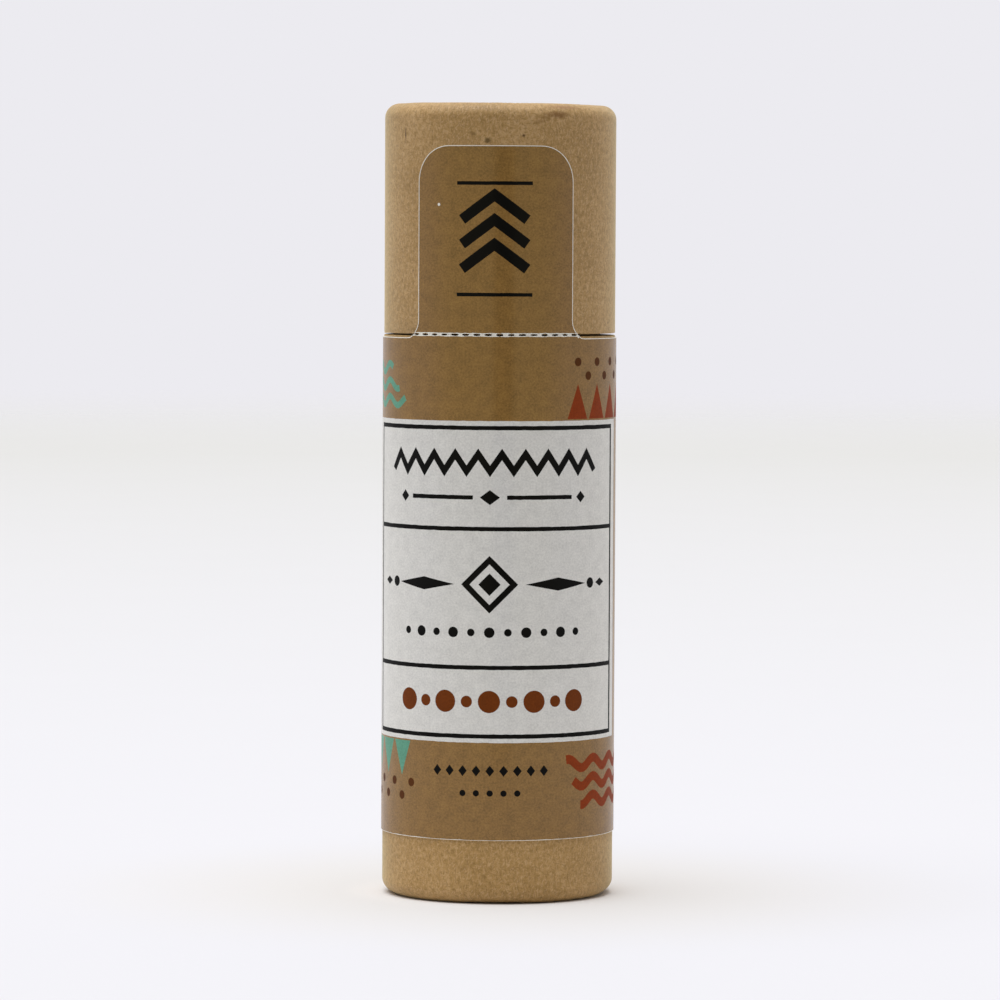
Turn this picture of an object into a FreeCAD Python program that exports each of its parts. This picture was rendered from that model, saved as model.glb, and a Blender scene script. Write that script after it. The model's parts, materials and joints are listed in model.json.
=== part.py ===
# Lip balm in a push-up paper tube.
# A wound paper base holds an inner neck tube with a greaseproof liner. The balm stands in the
# neck on a loose board disc, which a finger pushes up through the hole in the rolled foot.
# A cap of the same diameter slides over the neck. A paper label wraps the base, and its tab
# seals the cap until the perforation at the joint is torn.
# The frame: Z up, origin in the middle of the foot, label facing -Y. Sizes in millimetres.
import FreeCAD
import Part

import math
import os
import re

import Sketcher

SIZES = {
    # paper tubes
    "tube_d": 22.0,            # outer diameter of the base and of the cap
    "base_tall": 53.3,         # foot to the base's top edge
    "joint_gap": 0.2,          # open line between the base and the closed cap
    "cap_tall": 21.7,          # cap's lower edge to its rolled top
    "wrap_thick": 0.2,         # kraft paper wrapped over the board
    "board_thick": 1.2,        # wound board under the base's wrap
    "neck_thick": 1.3,         # wound board of the neck
    "rim_round": 0.3,          # rounding of the neck's mouth
    "rim_room": 0.8,           # room between the neck's mouth and the film in the closed cap
    "liner_thick": 0.15,       # greaseproof paper inside the neck
    "glue_line": 0.02,         # glue between two layers of paper or board
    "cap_fit": 0.08,           # radial clearance of the cap on the neck
    "seam_gap": 0.15,          # open butt seam of each kraft wrap
    "base_seam_turn": 152.0,   # where the base's seam stands, in degrees round from the front
    "cap_seam_turn": 203.0,    # where the cap's seam stands
    # rolled edges
    "curl_void": 0.8,          # hollow inside the rolled edge
    "curl_over": 0.2,          # turned-in lip past that hollow
    "foot_flat": 0.8,          # flat ring that the base stands on
    "crown_flat": 0.8,         # flat ring round the cap's top
    # discs
    "push_face_thick": 0.2,    # kraft facing that the finger meets
    "push_board_thick": 1.8,   # board of the push disc
    "push_film_thick": 0.15,   # greaseproof film under the balm
    "cap_face_thick": 0.2,     # kraft facing in the cap's top
    "cap_board_thick": 1.3,    # board of the cap's disc
    "cap_film_thick": 0.15,    # greaseproof film over the balm
    "piston_fit": 0.1,         # radial clearance of the disc and the balm in the liner
    # balm
    "head_room": 2.85,         # poured top to the neck's mouth
    "balm_dish": 0.5,          # hollow of its poured top
    "balm_edge": 0.6,          # rounding at its top edge
    # label
    "label_thick": 0.1,        # label paper
    "label_low": 6.05,         # label's lower edge above the foot
    "label_seam": 1.2,         # open strip between the label's ends, at the back
    "perf_cut": 0.24,          # height of the perforation's slits
    "tie_width": 0.5,          # paper left standing between two slits
    "tie_count": 17,           # number of those ties
    "tab_width": 16.0,         # width of the seal tab along the cap's surface
    "tab_tall": 17.6,          # perforation to the tab's top edge
    "tab_corner": 3.1,         # rounding of the tab's upper corners
    "flare_wide": 0.55,        # how far the tab's root widens on each side
    "flare_tall": 1.7,         # how far up that widening starts
    # cutting shapes
    "overrun": 1.0,            # how far a cut runs past what it cuts
}

WORKED = {
    "tube_r": "tube_d / 2",
    "skin": "wrap_thick + glue_line",
    "base_wall": "skin + board_thick",
    "neck_r": "tube_r - base_wall - glue_line",
    "neck_bore_r": "neck_r - neck_thick",
    "liner_r": "neck_bore_r - glue_line",
    "well_r": "liner_r - liner_thick",
    "piston_r": "well_r - piston_fit",
    "cap_bore_r": "neck_r + cap_fit",
    "cap_wall": "tube_r - cap_bore_r",
    "cap_disc_r": "cap_bore_r - glue_line",
    "base_lip_r": "tube_r - 2 * base_wall - curl_void",
    "base_bend": "(tube_r - base_lip_r - foot_flat) / 2",
    "base_lip": "base_wall + curl_void / 2 + curl_over",
    "cap_lip_r": "tube_r - 2 * cap_wall - curl_void",
    "cap_bend": "(tube_r - cap_lip_r - crown_flat) / 2",
    "cap_lip": "cap_wall + curl_void / 2 + curl_over",
    "cap_low": "base_tall + joint_gap",
    "cap_top": "cap_low + cap_tall",
    "cap_face_low": "cap_top - cap_lip - cap_face_thick",
    "cap_board_low": "cap_face_low - cap_board_thick",
    "cap_film_low": "cap_board_low - cap_film_thick",
    "rim_up": "cap_film_low - rim_room",
    "push_board_low": "base_lip + push_face_thick",
    "push_film_low": "push_board_low + push_board_thick",
    "balm_low": "push_film_low + push_film_thick",
    "balm_top": "rim_up - head_room",
    "dish_r": "piston_r - balm_edge",
    "dish_bow": "(dish_r ^ 2 + balm_dish ^ 2) / (2 * balm_dish)",
    "wrap_span": "360 - seam_gap / tube_r * 180 / pi",
    "label_in_r": "tube_r + glue_line",
    "label_r": "label_in_r + label_thick",
    "label_span": "360 - label_seam / label_r * 180 / pi",
    "joint_mid": "base_tall + joint_gap / 2",
    "label_top": "joint_mid - perf_cut / 2",
    "tab_low": "joint_mid + perf_cut / 2",
    "tab_top": "tab_low + tab_tall",
    "tab_half": "label_r * sin(tab_width / 2 / label_r * 180 / pi)",
    "block_r": "sqrt((label_r + overrun) ^ 2 + (tab_half + flare_wide) ^ 2) + overrun",
    "flare_bow": "(flare_wide ^ 2 + flare_tall ^ 2) / (2 * flare_wide)",
    "tie_span": "tie_width / label_r * 180 / pi",
    "ties_span": "2 * asin((tab_half + flare_wide) / label_r) / 1 deg - tie_span",
}

FRONT_TURN = -90.0  # turns the middle of a ring piece, drawn at +X, to the front
SEAM_TURN = 90.0  # turns the seam of a ring piece, drawn at -X, to the front
LEFT, RIGHT = 1, -1  # the side of the outline's path on which an arc's centre lies
START, END = 1, 2  # the two ends of a line or arc in a sketch
H_AXIS, V_AXIS = -1, -2  # a sketch's own axes
ORIGIN = (H_AXIS, START)  # a sketch's own origin

doc = FreeCAD.newDocument("lip_balm_stick")


def spell(formula):
    """A formula in plain names, with each name pointing at its spreadsheet."""
    def point(match):
        name = match.group()
        if name in SIZES:
            return "Sizes." + name
        return "Worked." + name if name in WORKED else name
    return re.sub(r"[a-z]\w*", point, formula)


def fill_sheet(name, rows):
    """One spreadsheet with a named row for each size."""
    sheet = doc.addObject("Spreadsheet::Sheet", name)
    for row, (alias, text) in enumerate(rows, start=1):
        sheet.set(f"A{row}", alias)
        sheet.set(f"B{row}", text)
        sheet.setAlias(f"B{row}", alias)
    doc.recompute()
    return sheet


fill_sheet("Sizes", [(name, str(size)) for name, size in SIZES.items()])
worked = fill_sheet("Worked", [(name, "=" + spell(formula)) for name, formula in WORKED.items()])


def value(formula):
    """What a formula comes to now, as a plain number."""
    found = worked.evalExpression(spell(formula))
    return float(getattr(found, "Value", found))


def new_body(label):
    """An empty body whose label names the piece."""
    body = doc.addObject("PartDesign::Body", label)
    body.Label = label
    return body


def origin_feature(body, role):
    """One of the body's own origin planes or axes."""
    return next(f for f in body.Origin.OriginFeatures if f.Role == role)


def arc_between(start, end, radius, side):
    """The arc from start to end whose centre lies on that side of the path."""
    chord = end - start
    reach = math.sqrt(max(radius * radius - chord.Length ** 2 / 4, 0))
    across = FreeCAD.Vector(-chord.y, chord.x, 0).normalize() * (side * reach)
    centre = (start + end) / 2 + across
    first, last = (start, end) if side == LEFT else (end, start)
    angles = [math.atan2(p.y - centre.y, p.x - centre.x) for p in (first, last)]
    if angles[1] < angles[0]:
        angles[1] += 2 * math.pi
    return Part.ArcOfCircle(Part.Circle(centre, FreeCAD.Vector(0, 0, 1), radius), *angles)


def draw(body, name, plane, corners, bends=None, mirrored=False):
    """A closed sketch through corners, each a pair of formulas for its place across and up.
    bends gives the radius and side of the arc that leaves a corner. A mirrored sketch lists only
    the corners of its right half, from the foot up."""
    bends = dict(bends or {})
    places = [FreeCAD.Vector(value(across), value(up), 0) for across, up in corners]
    count = len(corners)
    if mirrored:
        places += [FreeCAD.Vector(-p.x, p.y, 0) for p in reversed(places)]
        bends.update({2 * count - 2 - i: bend for i, bend in list(bends.items())})
    sketch = body.newObject("Sketcher::SketchObject", name)
    sketch.AttachmentSupport = [(origin_feature(body, plane), "")]
    sketch.MapMode = "FlatFace"
    total = len(places)
    ends = []
    for i, start in enumerate(places):
        end = places[(i + 1) % total]
        if i in bends:
            radius, side = bends[i]
            sketch.addGeometry(arc_between(start, end, value(radius), side))
            ends.append((START, END) if side == LEFT else (END, START))
        else:
            sketch.addGeometry(Part.LineSegment(start, end))
            ends.append((START, END))

    def bind(constraint, formula):
        index = sketch.addConstraint(constraint)
        sketch.setExpression(f"Constraints[{index}]", spell(formula))

    for i in range(total):
        after = (i + 1) % total
        sketch.addConstraint(Sketcher.Constraint("Coincident", i, ends[i][1], after, ends[after][0]))
        if i in bends and not (mirrored and i >= count):
            radius = bends[i][0]
            bind(Sketcher.Constraint("Radius", i, value(radius)), radius)
    for i, (across, up) in enumerate(corners):
        here = (i, ends[i][0])
        for kind, axis, formula in (("DistanceX", V_AXIS, across), ("DistanceY", H_AXIS, up)):
            if formula == "0":
                sketch.addConstraint(Sketcher.Constraint("PointOnObject", *here, axis))
            else:
                bind(Sketcher.Constraint(kind, *ORIGIN, *here, value(formula)), formula)
        if mirrored:
            other = total - 1 - i
            there = (other, ends[other][0])
            sketch.addConstraint(Sketcher.Constraint("Symmetric", *here, *there, V_AXIS))
            if i in bends:
                sketch.addConstraint(Sketcher.Constraint("Equal", i, other - 1))
    return sketch


def box_corners(inner, outer, low, high):
    """The four corners of a plain ring's section."""
    return [(inner, low), (outer, low), (outer, high), (inner, high)]


def turn_round(body, sketch, name, span=None, kind="Revolution"):
    """Turns a sketch round the tube's axis, all the way or over a span that its plane halves."""
    feature = body.newObject("PartDesign::" + kind, name)
    feature.Profile = sketch
    feature.ReferenceAxis = (sketch, ["V_Axis"])
    if span:
        feature.Midplane = True
        feature.setExpression("Angle", spell(span))
    body.Tip = feature
    return feature


def turn_piece(body, turn, further=None):
    """Turns a ring piece about the tube's axis, and further by a named angle."""
    rotation = FreeCAD.Rotation(FreeCAD.Vector(0, 0, 1), turn)
    body.Placement = FreeCAD.Placement(FreeCAD.Vector(), rotation)
    if further:
        body.setExpression("Placement.Rotation.Angle", spell(f"{further} + {turn}"))


def plain_ring(label, inner, outer, low, high):
    """A tube with a plain section."""
    body = new_body(label)
    sketch = draw(body, label + "_section", "XZ_Plane", box_corners(inner, outer, low, high))
    turn_round(body, sketch, label + "_ring")
    return body


def plain_disc(label, radius, low, thick):
    """A punched disc."""
    disc = doc.addObject("Part::Cylinder", label)
    disc.Label = label
    disc.setExpression("Radius", spell(radius))
    disc.setExpression("Height", spell(thick))
    disc.setExpression("Placement.Base.z", spell(low))
    return disc


# Each rolled tube is drawn from its rolled end. up() turns a height above that end into a
# height above the foot, and side is the side of the path on which the roll's centres lie.


def rolled_board(label, wall, lip_r, bend, lip, far, up, side):
    """The wound board of a tube, rolled inwards at one end round a small hollow."""
    inner_bend = f"{bend} - skin"
    corners = [
        ("tube_r - skin", up(far)),
        ("tube_r - skin", up(bend)),
        (f"tube_r - {bend}", up("skin")),
        (f"{lip_r} + {bend}", up("skin")),
        (f"{lip_r} + skin", up(bend)),
        (f"{lip_r} + skin", up(lip)),
        (f"{lip_r} + {wall}", up(lip)),
        (f"{lip_r} + {wall}", up(f"{wall} + curl_void / 2")),
        (f"{lip_r} + {wall} + curl_void / 2", up(wall)),
        (f"tube_r - {wall}", up(f"{wall} + curl_void / 2")),
        (f"tube_r - {wall}", up(far)),
    ]
    half_void = ("curl_void / 2", -side)
    bends = {1: (inner_bend, side), 3: (inner_bend, side), 7: half_void, 8: half_void}
    body = new_body(label)
    turn_round(body, draw(body, label + "_section", "XZ_Plane", corners, bends), label + "_ring")
    return body


def rolled_wrap(label, lip_r, bend, lip, far, up, side, seam_turn):
    """The kraft wrap over that board, tucked in with the roll, with its open butt seam."""
    inner_bend = f"{bend} - wrap_thick"
    corners = [
        ("tube_r", up(far)),
        ("tube_r", up(bend)),
        (f"tube_r - {bend}", up("0")),
        (f"{lip_r} + {bend}", up("0")),
        (lip_r, up(bend)),
        (lip_r, up(lip)),
        (f"{lip_r} + wrap_thick", up(lip)),
        (f"{lip_r} + wrap_thick", up(bend)),
        (f"{lip_r} + {bend}", up("wrap_thick")),
        (f"tube_r - {bend}", up("wrap_thick")),
        ("tube_r - wrap_thick", up(bend)),
        ("tube_r - wrap_thick", up(far)),
    ]
    bends = {1: (bend, side), 3: (bend, side), 7: (inner_bend, -side), 9: (inner_bend, -side)}
    body = new_body(label)
    sketch = draw(body, label + "_section", "XZ_Plane", corners, bends)
    turn_round(body, sketch, label + "_ring", span="wrap_span")
    turn_piece(body, SEAM_TURN, seam_turn)
    return body


def from_foot(height):
    """A height above the base's rolled foot."""
    return height


def from_crown(depth):
    """A depth below the cap's rolled top."""
    return "cap_top" if depth == "0" else f"cap_top - ({depth})"


def build_base():
    """The base: rolled board and wrap, with the neck and its liner glued inside."""
    roll = ("base_lip_r", "base_bend", "base_lip", "base_tall", from_foot, RIGHT)
    neck = new_body("neck_tube")
    corners = [
        ("neck_bore_r", "base_lip"),
        ("neck_r", "base_lip"),
        ("neck_r", "rim_up - rim_round"),
        ("neck_r - rim_round", "rim_up"),
        ("neck_bore_r", "rim_up"),
    ]
    section = draw(neck, "neck_tube_section", "XZ_Plane", corners, {2: ("rim_round", LEFT)})
    turn_round(neck, section, "neck_tube_ring")
    return [
        rolled_board("base_board", "base_wall", *roll),
        rolled_wrap("base_wrap", *roll, "base_seam_turn"),
        neck,
        plain_ring("neck_liner", "well_r", "liner_r", "base_lip", "rim_up"),
    ]


def build_push_up():
    """What the finger pushes: the faced board disc, its film and the poured balm."""
    balm = new_body("balm_stick")
    corners = [
        ("0", "balm_low"),
        ("piston_r", "balm_low"),
        ("piston_r", "balm_top - balm_edge"),
        ("dish_r", "balm_top"),
        ("0", "balm_top - balm_dish"),
    ]
    bends = {2: ("balm_edge", LEFT), 3: ("dish_bow", RIGHT)}
    turn_round(balm, draw(balm, "balm_section", "XZ_Plane", corners, bends), "balm_pour")
    return [
        plain_disc("push_disc_face", "piston_r", "base_lip", "push_face_thick"),
        plain_disc("push_disc_board", "piston_r", "push_board_low", "push_board_thick"),
        plain_disc("push_disc_film", "piston_r", "push_film_low", "push_film_thick"),
        balm,
    ]


def build_cap():
    """The cap: rolled board and wrap, closed by a faced disc pressed up under the roll."""
    roll = ("cap_lip_r", "cap_bend", "cap_lip", "cap_tall", from_crown, LEFT)
    return [
        rolled_board("cap_board", "cap_wall", *roll),
        rolled_wrap("cap_wrap", *roll, "cap_seam_turn"),
        plain_disc("cap_disc_face", "cap_disc_r", "cap_face_low", "cap_face_thick"),
        plain_disc("cap_disc_board", "cap_disc_r", "cap_board_low", "cap_board_thick"),
        plain_disc("cap_disc_film", "cap_disc_r", "cap_film_low", "cap_film_thick"),
    ]


def add_ties(body, name, low, high):
    """The row of paper ties on one side of the perforation, each half as tall as the slits."""
    sketch = draw(body, name + "_tie_section", "XZ_Plane", box_corners("label_in_r", "label_r", low, high))
    first = "-ties_span / 2"
    turn = FreeCAD.Rotation(FreeCAD.Vector(0, 1, 0), value(first))
    sketch.AttachmentOffset = FreeCAD.Placement(FreeCAD.Vector(), turn)
    sketch.setExpression("AttachmentOffset.Rotation.Angle", spell(first))
    tie = turn_round(body, sketch, name + "_tie", span="tie_span")
    doc.recompute()
    row = body.newObject("PartDesign::PolarPattern", name + "_ties")
    row.Originals = [tie]
    row.Axis = (origin_feature(body, "Z_Axis"), [""])
    row.setExpression("Angle", spell("ties_span"))
    row.setExpression("Occurrences", spell("tie_count"))
    body.Tip = row


def build_label():
    """The label round the base, and its tab up the cap, parted at the perforation."""
    label = new_body("wrap_label")
    corners = box_corners("label_in_r", "label_r", "label_low", "label_top")
    section = draw(label, "wrap_label_section", "XZ_Plane", corners)
    turn_round(label, section, "wrap_label_ring", span="label_span")
    add_ties(label, "wrap_label", "label_top", "joint_mid")
    turn_piece(label, FRONT_TURN)

    tab = new_body("seal_tab")
    corners = [
        ("tab_half + flare_wide", "tab_low"),
        ("tab_half", "tab_low + flare_tall"),
        ("tab_half", "tab_top - tab_corner"),
        ("tab_half - tab_corner", "tab_top"),
    ]
    bends = {0: ("flare_bow", RIGHT), 2: ("tab_corner", LEFT)}
    front = draw(tab, "seal_tab_front", "YZ_Plane", corners, bends, mirrored=True)
    pad = tab.newObject("PartDesign::Pad", "seal_tab_block")
    pad.Profile = front
    pad.setExpression("Length", spell("label_r + overrun"))
    tab.Tip = pad
    inner = box_corners("0", "label_in_r", "tab_low - overrun", "tab_top + overrun")
    outer = box_corners("label_r", "block_r", "tab_low - overrun", "tab_top + overrun")
    for name, corners in (("seal_tab_inside", inner), ("seal_tab_outside", outer)):
        doc.recompute()
        section = draw(tab, name + "_section", "XZ_Plane", corners)
        turn_round(tab, section, name, kind="Groove")
    add_ties(tab, "seal_tab", "joint_mid", "tab_low")
    turn_piece(tab, FRONT_TURN)
    return [label, tab]


def check(pieces):
    """Stops if anything failed to build, or a piece isn't whole."""
    failed = [o.Name for o in doc.Objects if "Invalid" in o.State or "Error" in o.State]
    if failed:
        raise RuntimeError(f"these objects failed to build: {failed}")
    for piece in pieces:
        shape = piece.Shape
        if shape.isNull() or not shape.isValid() or len(shape.Solids) != 1:
            raise RuntimeError(f"{piece.Label} is not one valid solid")


def main():
    pieces = build_base() + build_push_up() + build_cap() + build_label()
    doc.recompute()
    check(pieces)
    os.makedirs("parts", exist_ok=True)
    for piece in pieces:
        piece.Shape.exportStep(os.path.join("parts", piece.Label + ".step"))
        box = piece.Shape.BoundBox
        print(f"{piece.Label}: {piece.Shape.Volume:.2f} mm3, z {box.ZMin:.2f} to {box.ZMax:.2f}, "
              f"x {box.XMin:.2f} to {box.XMax:.2f}, y {box.YMin:.2f} to {box.YMax:.2f}")


main()
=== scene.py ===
"""Dresses a lip balm in a push-up paper tube on its packed frame.

Every visible piece is made here in metres, in the packed model's own frame: Z up, the foot's
middle at the origin, the middle of the label towards -Y. Sections and print are laid out in
millimetres, print on the flat sheet, measured right from the middle of the label and up from the
foot. Turns round the tube run from the front to the right."""
import json
import math

import bpy
import numpy as np
from bpy.props import FloatProperty, FloatVectorProperty, IntProperty, PointerProperty
from mathutils import Matrix, Vector
from mathutils.geometry import delaunay_2d_cdt


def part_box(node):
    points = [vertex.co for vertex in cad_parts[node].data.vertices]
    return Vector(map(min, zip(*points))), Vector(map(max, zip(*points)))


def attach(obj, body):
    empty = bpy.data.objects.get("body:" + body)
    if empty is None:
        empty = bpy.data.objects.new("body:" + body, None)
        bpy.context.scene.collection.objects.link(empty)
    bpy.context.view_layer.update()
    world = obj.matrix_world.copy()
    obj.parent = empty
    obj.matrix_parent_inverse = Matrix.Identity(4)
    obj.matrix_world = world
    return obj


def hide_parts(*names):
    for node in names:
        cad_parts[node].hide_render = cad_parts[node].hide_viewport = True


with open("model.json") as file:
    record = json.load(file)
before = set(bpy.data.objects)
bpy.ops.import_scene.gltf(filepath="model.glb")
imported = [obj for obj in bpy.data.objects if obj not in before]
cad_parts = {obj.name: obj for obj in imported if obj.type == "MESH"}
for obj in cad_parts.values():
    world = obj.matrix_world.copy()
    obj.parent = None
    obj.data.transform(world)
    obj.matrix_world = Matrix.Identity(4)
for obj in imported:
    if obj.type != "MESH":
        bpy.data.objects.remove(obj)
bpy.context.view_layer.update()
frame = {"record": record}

bl_info = {
    "name": "Paper Tube Lip Balm",
    "version": (1, 0, 0),
    "blender": (4, 5, 0),
    "location": "View3D > Sidebar > Balm Tube",
    "description": "Builds a push-up paper tube of lip balm on its packed frame",
    "category": "Object",
}

MM = 0.001
TAU = 2 * math.pi
SHEET_MAP = "Sheet"  # the UV map that measures a paper surface in millimetres
MIX_A, MIX_B, MIX_RESULT = 6, 7, 2  # a Mix node's colour sockets
BLACK = (0.0, 0.0, 0.0, 1.0)

BODY_OF = {
    node: body for body, nodes in frame["record"]["behaviour"]["bodies"].items() for node in nodes
}


def low(node):
    """Height of a CAD node's lowest point, in millimetres."""
    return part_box(node)[0][2] / MM


def high(node):
    """Height of a CAD node's highest point, in millimetres."""
    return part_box(node)[1][2] / MM


# Sizes that the CAD model fixes, in millimetres, and the turns of the wraps' seams in degrees.
TUBE_R = 11.0
WRAP_THICK = 0.2
SKIN = 0.22  # wrap and its glue
BASE_WALL, BASE_BEND, BASE_LIP_R = 1.42, 1.42, 7.36
CAP_WALL, CAP_BEND, CAP_LIP_R = 1.36, 1.36, 7.48
CURL_VOID, CURL_OVER = 0.8, 0.2
NECK_R, NECK_BORE_R, RIM_ROUND = 9.56, 8.26, 0.3
LINER_R, WELL_R = 8.24, 8.09
PISTON_R, CAP_DISC_R = 7.99, 9.62
BALM_EDGE, BALM_DISH = 0.6, 0.5
LABEL_IN_R, LABEL_R, LABEL_SEAM = 11.02, 11.12, 1.2
BASE_SEAM, CAP_SEAM, SEAM_GAP = 152.0, 203.0, 0.15
BASE_TOP, CAP_LOW, CAP_TOP = high("base_wrap"), low("cap_wrap"), high("cap_wrap")
LABEL_LOW, TAB_TOP = low("wrap_label"), high("seal_tab")

# Sizes of the label's cuts on the flat sheet, in millimetres.
TAB_WIDTH, TAB_CORNER, FLARE_WIDE, FLARE_TALL = 15.8, 3.45, 0.55, 1.3
PERFORATION = high("wrap_label") + 0.05  # over the open joint
LABEL_TOP = BASE_TOP - 0.2  # beside the tab, where a strip of kraft shows over the label
TAB_FOOT = LABEL_R * math.asin((LABEL_R * math.sin(TAB_WIDTH / 2 / LABEL_R) + FLARE_WIDE) / LABEL_R)
SLIT_COUNT, SLIT_WIDE, SLIT_TALL = 16, 0.36, 0.12  # the perforation's slits, by their half sizes
SLITS = [-TAB_FOOT + 2 * TAB_FOOT / SLIT_COUNT * (i + 0.5) for i in range(SLIT_COUNT)]
TIE_GAP, TIE_TEAR = 0.08, 0.002  # from a slit's end to the tear, and the least depth of the tear
BARE_TIE = (0.14, 0.19)  # how far the print stays off the perforation
INK_ROUGH = 0.03  # how far a printed edge wanders
GRID_TURN = math.radians(2.0)  # the label's facets round the tube

# Sizes of the small forms, in millimetres where nothing else is said.
PAPER_EASE = 0.05  # easing of the wrap's cut edge
GRAIN_DEPTH, DENT_DEPTH, BOW_DEPTH = 0.018, 0.09, 0.02
CROWN_LEAN, JOINT_LEAN, RAGGED_EDGE = 0.06, 0.1, 0.05
PLY_DIP, NECK_PLY_DIP, GROOVE_DEPTH = 0.06, 0.05, 0.07
LAP_TURN, LAP_HALF, LAP_EASE, LAP_DEPTH = 2.4, 0.14, 0.02, 0.04  # the first three in radians
LINER_CUT, LINER_EDGE, LINER_WANDER = 0.03, 0.04, 0.06
DISC_WANDER = 0.02
BALM_EASE, DRAG_DEPTH, DRAG_LINES = 0.1, 0.012, 130
RIPPLE_SPOT, RIPPLE_DEPTH, RIPPLE_RATE, RIPPLE_REACH = (1.6, 1.1), 0.04, 2.6, 4.5
PIT_COUNT, PIT_OUT, PIT_SIZE, PIT_DEPTH, PIT_STEEP = 9, (0.8, 6.6), (0.14, 0.32), 0.45, 2.2

# Steps of the meshes.
WRAP_TURNS, BOARD_TURNS, DISC_TURNS, NECK_ROWS = 901, 360, 240, 70
BEND_STEPS, INNER_STEPS = 14, 6
SHARP = math.radians(48)  # an edge that turns further is drawn sharp

# The studio, in metres and radians. Y runs away from the camera.
TABLE_RINGS, TABLE_SIDES = (0.02, 0.05, 0.12, 0.3, 0.7, 1.2, 1.75), 128
# Where the table's painted glow begins and is full, and its strength; the glow lifts the table's shadows.
GLOW_FROM, GLOW_TO, GLOW_LEVEL = 0.0105, 0.015, 0.55
# Radii on the table: where the painted warm bounce round the foot ends, where the painted dimming with
# distance begins, and where the table fades out.
PAINTED_BOUNCE_FROM, PAINTED_BOUNCE_TO, FAR_FROM, FADE_FROM, FADE_TO = 0.012, 0.05, 0.05, 1.05, 1.7
FRONT_FROM, FRONT_TO = -0.13, -0.22
LAMP_WAY, LAMP_SPREAD, LAMP_TINT = (0.17, 0.1, -1.0), math.radians(60), (0.95, 0.98, 1.03)
FILL_LEAN, FILL_TINT = (-0.01, 0.45, 0.2), (1.03, 1.0, 0.95, 1.0)
GAP_TURN, GAP_FROM, GAP_TO, GAP_LEVEL = math.radians(6.8), math.radians(7.0), math.radians(12.5), 0.1
SENSOR_WIDE = 36.0  # millimetres
CLIP_NEAR, CLIP_FAR = 0.01, 20.0
CAMERA_ASIDE = 0.0002  # so that the tube stands a hair left of the picture's middle


def linear(hex_text):
    """An sRGB hex colour as linear red, green, blue and a full alpha."""
    parts = [int(hex_text[i:i + 2], 16) / 255 for i in (1, 3, 5)]
    return (*(c / 12.92 if c <= 0.04045 else ((c + 0.055) / 1.055) ** 2.4 for c in parts), 1.0)


def shade(colour, factor, grey=0.0):
    """A linear colour, lighter or darker by a factor, and drawn some way towards its own grey."""
    level = sum(colour[:3]) / 3
    return (*(min((c + (level - c) * grey) * factor, 1.0) for c in colour[:3]), 1.0)


def colour_choice(name, description, hex_text):
    """A colour that the user can pick, from its sRGB hex value."""
    return FloatVectorProperty(
        name=name, description=description, size=4, subtype="COLOR", min=0.0, max=1.0,
        default=linear(hex_text),
    )


def length_choice(name, description, millimetres):
    """A length that the user can set, from its size in millimetres."""
    return FloatProperty(
        name=name, description=description, default=millimetres * MM, precision=5,
        unit="LENGTH", subtype="DISTANCE",
    )


def angle_choice(name, description, degrees):
    """An angle that the user can set, from its size in degrees."""
    return FloatProperty(
        name=name, description=description, default=math.radians(degrees),
        subtype="ANGLE", unit="ROTATION",
    )


class BalmTubePaper(bpy.types.PropertyGroup):
    """How the paper was wound, rolled and torn."""

    gathers: IntProperty(
        name="Gathers", description="Small pleats of the wrap round each rolled edge",
        default=104, min=12, max=240,
    )
    gather_depth: length_choice("Gather depth", "Depth of the pleats at the tucked-in lip", 0.17)
    ply_thick: length_choice("Ply", "Thickness of one ply of the wound board", 0.3)
    spiral_pitch: length_choice("Spiral pitch", "Climb of the neck's spiral seam in one turn", 58.0)
    tear_rough: length_choice("Tear", "Roughness of the torn ties of the perforation", 0.02)
    cut_edge: length_choice("Cut edge", "Width of the white cut edge round the label", 0.075)


class BalmTubePrint(bpy.types.PropertyGroup):
    """Where the label's panel and rules stand, from the label's middle and the foot."""

    panel_left: length_choice("Panel left", "Left edge of the pale panel", -16.16)
    panel_right: length_choice("Panel right", "Right edge of the pale panel", 15.59)
    panel_low: length_choice("Panel low", "Lower edge of the pale panel", 15.25)
    panel_high: length_choice("Panel high", "Upper edge of the pale panel", 45.4)
    rule_left: length_choice("Left rule", "Middle of the frame's left rule", -14.97)
    rule_right: length_choice("Right rule", "Middle of the frame's right rule", 14.35)
    rule_low: length_choice("Low rule", "Middle of the frame's lowest rule", 15.85)
    rule_second: length_choice("Second rule", "Middle of the lower dividing rule", 22.3)
    rule_third: length_choice("Third rule", "Middle of the upper dividing rule", 35.3)
    rule_high: length_choice("High rule", "Middle of the frame's highest rule", 44.75)
    rule_wide: length_choice("Rule width", "Width of the printed rules", 0.4)


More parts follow.
